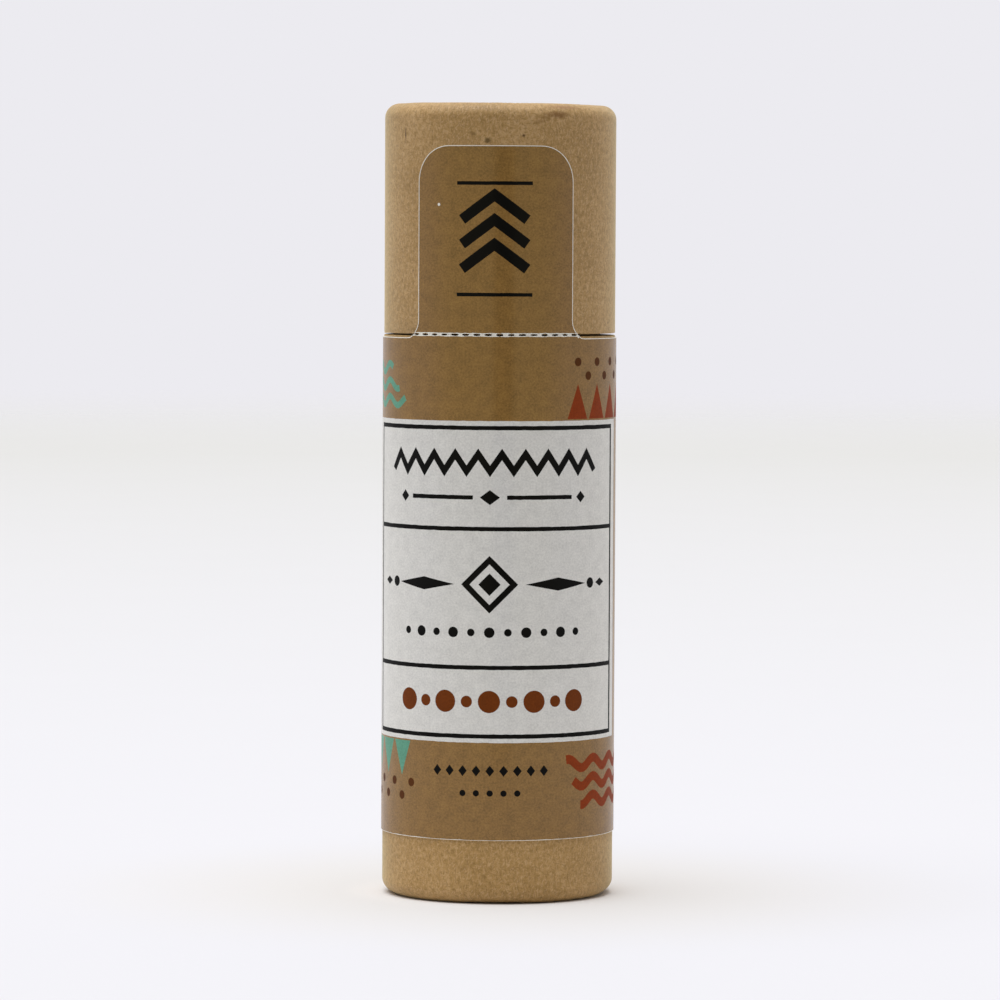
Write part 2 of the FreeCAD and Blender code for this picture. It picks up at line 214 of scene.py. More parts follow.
class BalmTubeColours(bpy.types.PropertyGroup):
    """Colours of the paper, the inks, the balm and the studio."""

    kraft: colour_choice("Kraft", "Unbleached kraft wrap", "#b08b54")
    board: colour_choice("Board", "Raw wound board", "#9a7c55")
    greaseproof: colour_choice("Greaseproof", "Waxed greaseproof paper", "#cdb994")
    core: colour_choice("Paper core", "White body of the label paper", "#fbf3e6")
    ground: colour_choice("Ground", "Tan ground of the label", "#8d6a37")
    panel: colour_choice("Panel", "Pale panel of the label", "#e1dfd9")
    black: colour_choice("Black", "Black ink of the rules", "#080706")
    rust: colour_choice("Rust", "Rust ink of the lowest field", "#70360f")
    terracotta: colour_choice("Terracotta", "Terracotta ink", "#8c3a14")
    brown: colour_choice("Brown", "Dark brown ink", "#57300f")
    teal: colour_choice("Teal", "Grey-green ink", "#5f9d83")
    balm: colour_choice("Balm", "Poured cocoa butter and beeswax", "#b98d5c")
    floor: colour_choice("Floor", "Table top near the object", "#e0dfe3")
    # Painted bounce light: the table drawn warmer round the foot, for light off the kraft.
    floor_painted_bounce: colour_choice("Floor by the foot", "Table top warmed by light off the kraft", "#e0dddb")
    # Painted falloff of the light: the table drawn darker and greyer far behind the object.
    floor_far_painted_dim: colour_choice("Far floor", "Table top far behind the object", "#d3d2d0")
    backdrop: colour_choice("Backdrop", "Backdrop seen past the table", "#ecebf0")
    room: colour_choice("Room", "Room in front of the table, seen in the varnish only", "#eae3bb")


class BalmTubeStudio(bpy.types.PropertyGroup):
    """Camera and light."""

    distance: length_choice("Distance", "Camera to the tube's axis, level", 528.8)
    height: length_choice("Height", "Camera above the table", 63.13)
    turn: angle_choice("Turn", "Camera's place round the tube, right of the label's middle", 2.75)
    pitch: angle_choice("Pitch", "How far the camera looks down", 2.775)
    roll: angle_choice("Roll", "How far the camera leans", 0.286)
    lens: FloatProperty(
        name="Lens", description="Focal length on a 36 mm sensor", default=199.7, unit="CAMERA",
    )
    fill: FloatProperty(
        name="Fill", description="Level of the light from all round", default=0.44, min=0.0, max=1.0,
    )
    key: FloatProperty(
        name="Key", description="Level of the large soft light over the table",
        default=0.95, min=0.0, max=2.0,
    )


def add_node(tree, kind, inputs=None, ramp=None, **settings):
    """Adds a node, sets it, and fills each named input with a value or with a socket's link."""
    node = tree.nodes.new(kind)
    for key, setting in settings.items():
        setattr(node, key, setting)
    for key, given in (inputs or {}).items():
        if isinstance(given, bpy.types.NodeSocket):
            tree.links.new(given, node.inputs[key])
        else:
            node.inputs[key].default_value = given
    if ramp:
        stops = node.color_ramp.elements
        while len(stops) < len(ramp):
            stops.new(1.0)
        for stop, (place, colour) in zip(stops, ramp):
            stop.position = place
            stop.color = colour
    return node


def start_material(name):
    """An empty node material, and its tree."""
    material = bpy.data.materials.new(name)
    material.use_nodes = True
    material.node_tree.nodes.clear()
    return material, material.node_tree


def end_material(tree, sockets):
    """Ends a material in a shader with these sockets set."""
    shader = add_node(tree, "ShaderNodeBsdfPrincipled", sockets)
    add_node(tree, "ShaderNodeOutputMaterial", {"Surface": shader.outputs["BSDF"]})


def on_object(tree):
    """Places on the object, in metres."""
    return add_node(tree, "ShaderNodeTexCoord").outputs["Object"]


def on_sheet(tree):
    """Places on the flat sheet, in millimetres."""
    return add_node(tree, "ShaderNodeUVMap", uv_map=SHEET_MAP).outputs["UV"]


def per(millimetres):
    """The scale of a pattern whose features are that many millimetres wide."""
    return 1.0 / millimetres


def noise(tree, place, scale, detail, roughness=0.5, distortion=0.0):
    """A noise pattern."""
    return add_node(tree, "ShaderNodeTexNoise", {
        "Vector": place, "Scale": scale, "Detail": detail, "Roughness": roughness,
        "Distortion": distortion}).outputs["Fac"]


def maths(tree, operation, *values):
    """A sum worked out on some values."""
    return add_node(tree, "ShaderNodeMath", dict(enumerate(values)), operation=operation).outputs[0]


def across_range(tree, value, start, end, first=0.0, last=1.0, curve="LINEAR"):
    """A value between start and end, turned into one between first and last."""
    return add_node(tree, "ShaderNodeMapRange", {
        "Value": value, "From Min": start, "From Max": end, "To Min": first, "To Max": last},
        interpolation_type=curve).outputs["Result"]


def blend(tree, part, under, over):
    """Two colours mixed, by the part that the second one has."""
    return add_node(tree, "ShaderNodeMix", {
        0: part, MIX_A: under, MIX_B: over}, data_type="RGBA").outputs[MIX_RESULT]


def ramped(tree, value, *stops):
    """A value turned into colours."""
    return add_node(tree, "ShaderNodeValToRGB", {"Fac": value}, ramp=stops).outputs["Color"]


def bumped(tree, height, deep, strength):
    """A normal roughened by a pattern that many millimetres deep."""
    return add_node(tree, "ShaderNodeBump", {
        "Height": height, "Distance": deep * MM, "Strength": strength}).outputs["Normal"]


def split(tree, vector):
    """A vector's three sockets."""
    return add_node(tree, "ShaderNodeSeparateXYZ", {"Vector": vector}).outputs


def vector_length(tree, vector):
    """A vector's length."""
    return add_node(tree, "ShaderNodeVectorMath", {0: vector}, operation="LENGTH").outputs["Value"]


def mapped(tree, place, location, turn, scale):
    """Places measured from a spot, turned about Z, in units of a scale."""
    return add_node(tree, "ShaderNodeMapping", {
        "Vector": place, "Location": location, "Rotation": (0.0, 0.0, turn), "Scale": scale},
        vector_type="TEXTURE").outputs["Vector"]


def kraft_paper(name, colour, stains=()):
    """Uncoated kraft paper: long unbleached softwood fibre, pressed but not sized or coated. The eye
    gets a matt warm brown with soft clouds, pale and dark fibres lying mostly up the sheet, a few
    bark flecks, and a pale fibre sheen at a glancing angle. Each stain is its turn from the front,
    its height, its half width and half height, its colour and its strength."""
    material, tree = start_material(name)
    sheet = on_sheet(tree)
    cloud = noise(tree, sheet, per(6.0), 1.0)
    mottle = noise(tree, sheet, per(0.5), 4.0, 0.75)
    both = maths(tree, "MULTIPLY_ADD", cloud, 0.4, mottle)
    tint = ramped(tree, across_range(tree, both, 0.50, 0.90), (0.0, shade(colour, 0.72, -0.05)),
                  (0.5, colour), (1.0, shade(colour, 1.32, 0.14)))
    # Fibres are 0.03 mm wide; they are drawn at 0.14 mm so that they show in the render. Each row
    # is their lean, their length, the level from which they show, their shade and their strength.
    fibre_wide, fibre_edge = 0.14, 0.12
    strands = []
    for lean, far, cut, factor, amount in (
            (0.06, 0.8, 0.55, 1.5, 0.4), (-0.7, 0.5, 0.55, 1.5, 0.5),
            (0.25, 0.6, 0.55, 0.52, 0.46), (1.3, 0.45, 0.56, 0.55, 0.5)):
        laid = mapped(tree, sheet, (17.0 * factor, 5.0, 0.0), lean, (fibre_wide, far, 1.0))
        strands.append(noise(tree, laid, 1.0, 1.0))
        shown = across_range(tree, strands[-1], cut, cut + fibre_edge, 0.0, amount)
        tint = blend(tree, shown, tint, shade(colour, factor, 0.24 if factor > 1 else -0.1))
    # Bark flecks: one in five cells of 1.7 mm holds a fleck of about 0.12 mm.
    cells = add_node(tree, "ShaderNodeTexVoronoi", {"Vector": sheet, "Scale": per(1.7)}).outputs
    near = across_range(tree, cells["Distance"], 0.035, 0.085, 0.7, 0.0)
    chosen = maths(tree, "GREATER_THAN", cells["Color"], 0.62)
    tint = blend(tree, maths(tree, "MULTIPLY", near, chosen), tint, shade(colour, 0.36))
    stain_deep = 2.0  # millimetres through the wall
    for turn, up, wide, tall, stain, amount in stains:
        middle = (TUBE_R * MM * math.sin(turn), -TUBE_R * MM * math.cos(turn), up * MM)
        spot = mapped(tree, on_object(tree), middle, turn, (wide * MM, stain_deep * MM, tall * MM))
        ragged = maths(tree, "MULTIPLY_ADD", mottle, 1.4, vector_length(tree, spot))
        tint = blend(tree, across_range(tree, ragged, 1.0, 1.7, amount, 0.0), tint, linear(stain))
    fuzz = maths(tree, "ADD", strands[0], strands[2])
    end_material(tree, {
        "Base Color": tint, "Roughness": across_range(tree, mottle, 0.0, 1.0, 0.44, 0.64),
        "Normal": bumped(tree, maths(tree, "ADD", fuzz, mottle), 0.016, 0.9),
        "IOR": 1.5, "Specular IOR Level": 0.3,
        "Sheen Weight": 0.32, "Sheen Roughness": 0.35, "Sheen Tint": (1.0, 0.97, 0.62, 1.0)})
    return material


def wound_board(name, colour, ply):
    """Wound chipboard: plies of recycled fibre glued over each other on a mandrel and cut to length.
    The eye gets a dull grey-brown with coarse mixed fibre, and fine glue lines between the plies
    on every cut end."""
    material, tree = start_material(name)
    place = on_object(tree)
    mottle = noise(tree, place, per(0.5) / MM, 4.0, 0.65)
    tint = ramped(tree, mottle, (0.28, shade(colour, 0.72)), (0.52, colour), (0.74, shade(colour, 1.25)))
    parts = split(tree, place)
    level = add_node(tree, "ShaderNodeCombineXYZ", {"X": parts["X"], "Y": parts["Y"]}).outputs["Vector"]
    radius = vector_length(tree, level)
    waver = maths(tree, "MULTIPLY_ADD", mottle, 0.09 * MM, radius)
    line = across_range(tree, maths(tree, "PINGPONG", waver, ply), 0.0, 0.16 * ply, 0.6, 0.0)
    facing = split(tree, add_node(tree, "ShaderNodeNewGeometry").outputs["True Normal"])["Z"]
    cut_end = maths(tree, "GREATER_THAN", maths(tree, "ABSOLUTE", facing), 0.6)
    tint = blend(tree, maths(tree, "MULTIPLY", line, cut_end), tint, shade(colour, 0.42))
    end_material(tree, {
        "Base Color": tint, "Roughness": 0.82, "Normal": bumped(tree, mottle, 0.03, 0.8), "IOR": 1.5})
    return material


def greaseproof_paper(name, colour):
    """Greaseproof paper: beaten hard until the sheet is dense, then waxed and calendered. The eye gets
    a smooth straw-coloured sheet with faint clouds and a dull wax shine."""
    material, tree = start_material(name)
    place = on_object(tree)
    cloud = noise(tree, place, per(1.4) / MM, 4.0, 0.6)
    tint = ramped(tree, cloud, (0.25, shade(colour, 0.84)), (0.75, shade(colour, 1.1)))
    end_material(tree, {
        "Base Color": tint, "Roughness": across_range(tree, cloud, 0.0, 1.0, 0.3, 0.52),
        "Normal": bumped(tree, cloud, 0.02, 0.6), "IOR": 1.47})
    return material


def printed_paper(name, colour, uneven, coat):
    """Label paper printed by offset and sealed with a satin varnish. The eye gets an even colour with
    a fine print grain, a slight orange peel in the varnish, and a clear but soft reflection of the
    studio. uneven is how far the ink's strength wanders; coat is 0 on a bare cut or torn edge."""
    material, tree = start_material(name)
    sheet = on_sheet(tree)
    # A 70 lines/cm screen is too fine to show, so its grain is drawn at 0.2 mm.
    grain = noise(tree, sheet, per(0.2), 2.0, 0.8)
    cloud = noise(tree, sheet, per(1.1), 3.0, 0.6)
    both = maths(tree, "MULTIPLY_ADD", cloud, 0.5, grain)
    tint = ramped(tree, across_range(tree, both, 0.5, 1.0), (0.0, shade(colour, 1.0 - uneven)),
                  (1.0, shade(colour, 1.0 + uneven)))
    peel = bumped(tree, noise(tree, sheet, per(0.9), 2.0), 0.006, 0.5)
    end_material(tree, {
        "Base Color": tint, "Roughness": 0.6, "Normal": peel, "IOR": 1.5, "Specular IOR Level": 0.05,
        "Coat Weight": coat, "Coat Roughness": 0.17, "Coat IOR": 1.5, "Coat Normal": peel})
    return material


def poured_balm(name, colour):
    """Cocoa butter and beeswax, melted, poured and set. The eye gets a soft glow under the surface, a
    dull waxy shine, and a faint bloom of pale crystals where it cooled."""
    material, tree = start_material(name)
    place = on_object(tree)
    bloom = noise(tree, place, per(2.4) / MM, 5.0, 0.6, 0.6)
    grain = noise(tree, place, per(0.3) / MM, 3.0)
    tint = ramped(tree, bloom, (0.3, shade(colour, 0.88)), (0.55, colour), (0.8, shade(colour, 1.16)))
    end_material(tree, {
        "Base Color": tint, "Roughness": across_range(tree, bloom, 0.0, 1.0, 0.24, 0.46),
        "Normal": bumped(tree, grain, 0.012, 0.6), "IOR": 1.45, "Subsurface Weight": 0.35,
        "Subsurface Radius": (1.0, 0.55, 0.3), "Subsurface Scale": 1.6 * MM})
    return material


def arc(centre, radius, start, end, steps):
    """Points of a section on an arc, from one angle to another in degrees."""
    angles = np.radians(np.linspace(start, end, steps + 1))
    return [(centre[0] + radius * math.cos(a), centre[1] + radius * math.sin(a)) for a in angles]


def run(start, end, steps):
    """Points of a section on a straight line, without its start."""
    return [tuple(p) for p in np.linspace(start, end, steps + 1)[1:]]


def plies(outer, inner, height, count, dip):
    """A cut end of wound board, from outside in: each ply ends in a slightly rounded ridge."""
    ridge = ((0.0, 1.0), (0.2, 0.15), (0.5, 0.0), (0.8, 0.2))  # part of the ply, part of the dip
    points = []
    edges = np.linspace(outer, inner, count + 1)
    for first, last in zip(edges[:-1], edges[1:]):
        points += [(first + part * (last - first), height - sunk * dip) for part, sunk in ridge]
    return points + [(inner, height - dip)]


def flipped(section, top):
    """A section drawn up from its rolled end, hung down from that end at the top instead."""
    return [(point[0], top - point[1], *point[2:]) for point in reversed(section)]


def turned(name, section, turns, relief=None, whole=True, twist=0.0, planar=False):
    """A mesh of a section in millimetres turned about Z. The section runs anticlockwise, with the
    radius across and the height up; one that ends on the axis at both ends makes a disc. turns are
    its angles from the front to the right. relief gives how far each point sinks along its normal.
    An open ring gets closed ends, and a planar sheet is measured across instead of round."""
    points = np.array([point[:2] for point in section])
    turns = np.asarray(turns)
    pole = points[:, 0] < 1e-9
    ring = not pole.any()
    before, after = np.roll(points, 1, axis=0), np.roll(points, -1, axis=0)
    if not ring:
        before[0], after[-1] = points[0], points[-1]
    along = after - before
    normal = np.stack((along[:, 1], -along[:, 0]), axis=1)
    normal /= np.maximum(np.linalg.norm(normal, axis=1, keepdims=True), 1e-9)
    sunk = np.zeros((len(turns), len(points))) if relief is None else relief(turns)
    radius = np.where(pole, 0.0, points[:, 0] - sunk * normal[:, 0])
    height = points[:, 1] - sunk * normal[:, 1]
    angle = turns[:, None] + twist * height
    places = np.stack((radius * np.sin(angle), -radius * np.cos(angle), height), axis=-1).reshape(-1, 3)
    number = np.arange(angle.size).reshape(angle.shape)
    number[:, pole] = number[0, pole]
    steps = np.linalg.norm(np.diff(np.vstack((points, points[:1])), axis=0), axis=1)
    travelled = np.concatenate(([0.0], np.cumsum(steps)))
    rows, columns = len(points), len(turns)
    faces, flat = [], []
    for j in range(columns if whole else columns - 1):
        k = (j + 1) % columns
        ahead = turns[k] + (TAU if k == 0 else 0.0)
        for a in range(rows if ring else rows - 1):
            b = (a + 1) % rows
            corners = {number[j, a]: (turns[j], a), number[k, a]: (ahead, a),
                       number[k, b]: (ahead, a + 1), number[j, b]: (turns[j], a + 1)}
            if len(corners) < 3:
                continue
            faces.append(list(corners))
            for corner, (where, row) in corners.items():
                if planar:
                    flat.append(tuple(places[corner][:2]))
                else:
                    flat.append((where * points[:, 0].max(), travelled[row]))
    if not whole:
        for end in (list(number[0]), list(number[-1][::-1])):
            faces.append(end)
            flat += [(0.0, travelled[corner % rows]) for corner in end]
    used = np.unique(np.concatenate([np.array(face) for face in faces]))
    fresh = np.full(angle.size, -1)
    fresh[used] = np.arange(len(used))
    mesh = bpy.data.meshes.new(name)
    mesh.from_pydata((places[used] * MM).tolist(), [], [fresh[face].tolist() for face in faces])
    sheet = mesh.uv_layers.new(name=SHEET_MAP)
    sheet.uv.foreach_set("vector", np.array(flat, dtype=np.float32).ravel())
    mesh.shade_smooth()
    mesh.set_sharp_from_angle(angle=SHARP)
    return mesh


def round_turns(count):
    """Even angles all the way round."""
    return np.arange(count) * TAU / count


def add_piece(name, mesh, node, materials):
    """Puts a mesh in the scene in place of a CAD node, on that node's body."""
    for material in materials:
        mesh.materials.append(material)
    piece = bpy.data.objects.new(name, mesh)
    bpy.context.collection.objects.link(piece)
    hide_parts(node)
    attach(piece, BODY_OF[node])


def waves(turns, seed, fewest, most):
    """A smooth random line round the tube between 0 and 1, of the fewest to the most waves a turn."""
    draw = np.random.default_rng(seed)
    line = np.zeros_like(turns)
    for count in range(fewest, most + 1):
        line += draw.normal() / count * np.cos(count * turns + draw.uniform(0, TAU))
    return 0.5 + 0.5 * line / max(np.abs(line).max(), 1e-9)


def gathered(turns, count, seed):
    """Depth round a rolled edge: 1 at most on a pleat's fold, and near 0 between two folds."""
    draw = np.random.default_rng(seed)
    folds = (np.arange(count) + draw.uniform(-0.38, 0.38, count)) * TAU / count
    depth = draw.uniform(0.15, 1.0, count) ** 1.4
    folds = np.concatenate((folds, folds[:1] + TAU))
    depth = np.concatenate((depth, depth[:1]))
    place = np.mod(turns - folds[0], TAU) + folds[0]
    left = np.clip(np.searchsorted(folds, place, side="right") - 1, 0, count - 1)
    part = (place - folds[left]) / (folds[left + 1] - folds[left])
    return depth[left] * (1 - part) ** 5 + depth[left + 1] * part ** 5


def wrap_section(bend, lip_r, lip, far):
    """The section of a kraft wrap, drawn up from its rolled end: radius, height, and for the skin
    that shows how far round the roll the point lies, from 0 on the wall to 1 on the lip."""
    crown, hook = (TUBE_R - bend, bend), (lip_r + bend, bend)
    inner = TUBE_R - WRAP_THICK
    flat = crown[0] - hook[0]
    quarter = bend * math.pi / 2
    path = 2 * quarter + flat + lip - bend
    section = []
    for i, point in enumerate(arc(crown, bend, -90, 0, BEND_STEPS)):
        section.append((*point, (1 - i / BEND_STEPS) * quarter / path))
    hidden = run((TUBE_R, bend), (TUBE_R, far - PAPER_EASE), BEND_STEPS)
    hidden += [(TUBE_R - PAPER_EASE, far), (inner + PAPER_EASE, far)]
    hidden += run((inner, far), (inner, bend), 3)
    hidden += arc(crown, bend - WRAP_THICK, 0, -90, INNER_STEPS)[1:]
    hidden += arc(hook, bend - WRAP_THICK, -90, -180, INNER_STEPS)
    hidden.append((lip_r + WRAP_THICK, lip))
    section += [(*point, 0.0) for point in hidden]
    section += [(lip_r, lip, 1.0), (lip_r, (lip + bend) / 2, 0.95)]
    for i, point in enumerate(arc(hook, bend, 180, 270, BEND_STEPS)):
        section.append((*point, (quarter + flat + (1 - i / BEND_STEPS) * quarter) / path))
    section += [(*p, (quarter + flat * (1 - (i + 1) / 3)) / path)
                for i, p in enumerate(run((hook[0], 0.0), (crown[0], 0.0), 3)[:-1])]
    return section


class BALMTUBE_OT_kraft_wraps(bpy.types.Operator):
    """Make the kraft wraps of the base and the cap, rolled, gathered and butt-seamed"""

    bl_idname = "balm_tube.kraft_wraps"
    bl_label = "Kraft wraps"

    def execute(self, context):
        paper = context.scene.balm_tube_paper
        colour = context.scene.balm_tube_colours.kraft
        deep = paper.gather_depth / MM
        # Rubbed brown streaks on the cap's rim, bark specks over the tab, and a dark fibre.
        crown_stains = [
            (0.56, 74.0, 1.5, 0.42, "#754f24", 0.8), (0.45, 73.75, 0.8, 0.4, "#83602f", 0.6),
            (0.38, 73.3, 0.7, 0.3, "#866436", 0.55), (0.64, 74.75, 2.2, 0.3, "#96694a", 0.5),
            (-0.06, 71.55, 0.42, 0.4, "#54401f", 0.8), (0.245, 72.05, 0.2, 0.2, "#43290f", 0.9),
            (-0.185, 72.2, 0.34, 0.26, "#7a5c33", 0.7), (-0.9, 72.2, 0.14, 0.95, "#5a4020", 0.85)]
        # Each row: name, node, bend, lip, wall, length, edge at the joint, seam, seed, colour, stains.
        parts = (
            ("kraft_wrap_base", "base_wrap", BASE_BEND, BASE_LIP_R, BASE_WALL, BASE_TOP,
             BASE_TOP, BASE_SEAM, 3, colour, ()),
            ("kraft_wrap_cap", "cap_wrap", CAP_BEND, CAP_LIP_R, CAP_WALL, CAP_TOP - CAP_LOW,
             # The cap's kraft is drawn 5% lighter and a little greyer than the base's: a painted lift for
             # the brighter light on the cap.
             CAP_LOW, CAP_SEAM, 8, shade(colour, 1.05, 0.05), crown_stains))
        for name, node, bend, lip_r, wall, far, joint, seam, seed, tint, stains in parts:
            is_cap = node == "cap_wrap"
            section = wrap_section(bend, lip_r, wall + CURL_VOID / 2 + CURL_OVER, far)
            if is_cap:
                section = flipped(section, CAP_TOP)
            radii, heights, rolled = np.array(section).T
            straight = (radii > TUBE_R - 1e-6) & (rolled == 0.0)
            edge = np.abs(heights - joint) < 1e-6

            def relief(turns):
                folds = gathered(turns, paper.gathers, seed)[:, None]
                grain = gathered(turns, paper.gathers * 3, seed + 50)[:, None]
                # The pleats start at three tenths of the way round the roll.
                sunk = folds * deep * np.clip((rolled - 0.3) / 0.7, 0, 1) ** 0.8
                sunk = sunk + grain * GRAIN_DEPTH * np.clip(rolled * 3, 0, 1)
                dents = waves(turns, seed + 1, 3, 17)[:, None] ** 2 * DENT_DEPTH
                ragged = RAGGED_EDGE * waves(turns, seed + 3, 5, 150)
                if is_cap:
                    # The cap leans a hair: its roll is lower on the right, and its joint is nearly
                    # shut on the left.
                    dents = dents + CROWN_LEAN * (1 + np.sin(turns))[:, None]
                    ragged = ragged - JOINT_LEAN * np.clip(-np.sin(turns), 0, 1) ** 2
                sunk = sunk + dents * np.sin(np.clip(rolled * 1.5, 0, 1) * math.pi)
                bow = waves(turns, seed + 2, 2, 6)[:, None] * (0.5 + 0.5 * np.sin(heights * 0.11 + seed))
                return sunk + straight * BOW_DEPTH * bow + edge * ragged[:, None]

            half = (TAU - SEAM_GAP / TUBE_R) / 2
            turns = np.linspace(-half, half, WRAP_TURNS) + math.radians(seam) - math.pi
            mesh = turned(name, section, turns, relief, whole=False)
            end = name.rsplit("_", 1)[1]
            add_piece(name, mesh, node, [kraft_paper(f"uncoated kraft paper, {end}", tint, stains)])
        return {"FINISHED"}


class BALMTUBE_OT_wound_boards(bpy.types.Operator):
    """Make the wound board tubes of the base, the cap and the neck"""

    bl_idname = "balm_tube.wound_boards"
    bl_label = "Wound boards"

    def execute(self, context):
        paper = context.scene.balm_tube_paper
        board = wound_board("wound chipboard", context.scene.balm_tube_colours.board, paper.ply_thick)
        count = max(2, round((BASE_WALL - SKIN) * MM / paper.ply_thick))
        parts = (
            ("board_tube_base", "base_board", BASE_BEND, BASE_LIP_R, BASE_WALL, BASE_TOP),
            ("board_tube_cap", "cap_board", CAP_BEND, CAP_LIP_R, CAP_WALL, CAP_TOP - CAP_LOW))
        for name, node, bend, lip_r, wall, far in parts:
            lip = wall + CURL_VOID / 2 + CURL_OVER
            hollow = (lip_r + wall + CURL_VOID / 2, wall + CURL_VOID / 2)
            section = arc((TUBE_R - bend, bend), bend - SKIN, -90, 0, 8)
            section += plies(TUBE_R - SKIN, TUBE_R - wall, far, count, PLY_DIP)
            section += arc(hollow, CURL_VOID / 2, 0, -180, 12)
            section += [(lip_r + wall, lip), (lip_r + SKIN, lip)]
            section += arc((lip_r + bend, bend), bend - SKIN, 180, 270, 8)
            if node == "cap_board":
                section = flipped(section, CAP_TOP)
            add_piece(name, turned(name, section, round_turns(BOARD_TURNS)), node, [board])

        # The neck has many rows because its mesh is twisted along its spiral seam.
        foot, rim = low("neck_tube"), high("neck_tube")
        section = [(NECK_R, foot)] + run((NECK_R, foot), (NECK_R, rim - RIM_ROUND), NECK_ROWS)[:-1]
        section += arc((NECK_R - RIM_ROUND, rim - RIM_ROUND), RIM_ROUND, 0, 90, 6)
        section += plies(NECK_R - RIM_ROUND, NECK_BORE_R, rim, 3, NECK_PLY_DIP)[1:]
        section += run((NECK_BORE_R, rim - NECK_PLY_DIP), (NECK_BORE_R, foot), NECK_ROWS)
        outer = np.array([point[0] > NECK_R - 0.1 for point in section])
        # The outermost ply is wound as one strip, whose edges meet in a fine spiral groove.
        groove = np.radians([-0.55, -0.3, 0.0, 0.3, 0.55])
        turns = np.concatenate((groove, np.radians(np.arange(1.5, 359.0, 1.0))))

        def relief(turns):
            return outer * np.where(np.abs(turns) < 1e-6, GROOVE_DEPTH, 0.0)[:, None]

        mesh = turned("neck_board", section, turns, relief, twist=TAU / (paper.spiral_pitch / MM))
        add_piece("neck_board", mesh, "neck_tube", [board])
        return {"FINISHED"}


class BALMTUBE_OT_neck_lining(bpy.types.Operator):
    """Make the greaseproof lining of the neck, with its overlapped seam"""

    bl_idname = "balm_tube.neck_lining"
    bl_label = "Neck lining"

    def execute(self, context):
        foot, rim = low("neck_liner"), high("neck_liner")
        section = [(WELL_R, foot), (LINER_R, foot), (LINER_R, rim - LINER_CUT), (LINER_R - LINER_EDGE, rim),
                   (WELL_R + LINER_EDGE, rim), (WELL_R, rim - LINER_CUT)]
        inner = np.array([point[0] < WELL_R + 0.01 for point in section])
        top = np.array([point[1] > rim - 0.01 for point in section])

        def relief(turns):
            # The lap stands proud inside, and the cut edge wanders a little.
            off = np.abs(np.mod(turns - LAP_TURN + math.pi, TAU) - math.pi)
            lap = np.clip((LAP_HALF - off) / LAP_EASE, 0, 1)[:, None] * -LAP_DEPTH
            return inner * lap + top * LINER_WANDER * waves(turns, 21, 2, 30)[:, None]

        paper = greaseproof_paper("greaseproof paper", context.scene.balm_tube_colours.greaseproof)
        mesh = turned("neck_lining", section, round_turns(BOARD_TURNS), relief)
        add_piece("neck_lining", mesh, "neck_liner", [paper])
        return {"FINISHED"}


def disc_section(radius, foot, top, ease, dish_foot, dish_top):
    """The section of a punched disc: eased edges, and a slight dish in each face."""
    flat_r = radius - ease
    under = [(r, foot + dish_foot * (1 - (r / radius) ** 2)) for r in np.linspace(0.0, flat_r, 14)]
    over = [(r, top + dish_top * (1 - (r / radius) ** 2)) for r in np.linspace(flat_r, 0.0, 14)]
    side = arc((flat_r, foot + ease), ease, -90, 0, 3)[1:] + arc((flat_r, top - ease), ease, 0, 90, 3)[:-1]
    return under + side + over


class BALMTUBE_OT_discs(bpy.types.Operator):
    """Make the faced board discs of the push-up foot and of the cap"""

    bl_idname = "balm_tube.discs"
    bl_label = "Discs"

    def execute(self, context):
        colours = context.scene.balm_tube_colours
        face = kraft_paper("uncoated kraft paper, discs", colours.kraft)
        board = wound_board("pressed chipboard", colours.board, context.scene.balm_tube_paper.ply_thick)
        film = bpy.data.materials.get("greaseproof paper")
        if film is None:
            film = greaseproof_paper("greaseproof paper", colours.greaseproof)
        # Each row: name, node, radius, easing, dish of the lower face and of the upper one, material.
        parts = (
            ("push_face", "push_disc_face", PISTON_R, 0.06, 0.09, 0.0, face),
            ("push_board", "push_disc_board", PISTON_R, 0.12, 0.0, 0.0, board),
            ("push_film", "push_disc_film", PISTON_R, 0.05, 0.0, 0.0, film),
            ("crown_face", "cap_disc_face", CAP_DISC_R, 0.06, 0.0, -0.09, face),
            ("crown_board", "cap_disc_board", CAP_DISC_R, 0.12, 0.0, 0.0, board),
            ("crown_film", "cap_disc_film", CAP_DISC_R, 0.05, 0.06, 0.0, film))
        for seed, (name, node, radius, ease, dish_foot, dish_top, material) in enumerate(parts, 30):
            section = disc_section(radius, low(node), high(node), ease, dish_foot, dish_top)
            edge = np.array([point[0] for point in section]) / radius

            def relief(turns):
                return DISC_WANDER * waves(turns, seed, 2, 40)[:, None] * np.clip(edge, 0, 1) ** 8

            mesh = turned(name, section, round_turns(DISC_TURNS), relief, planar=True)
            add_piece(name, mesh, node, [material])
        return {"FINISHED"}


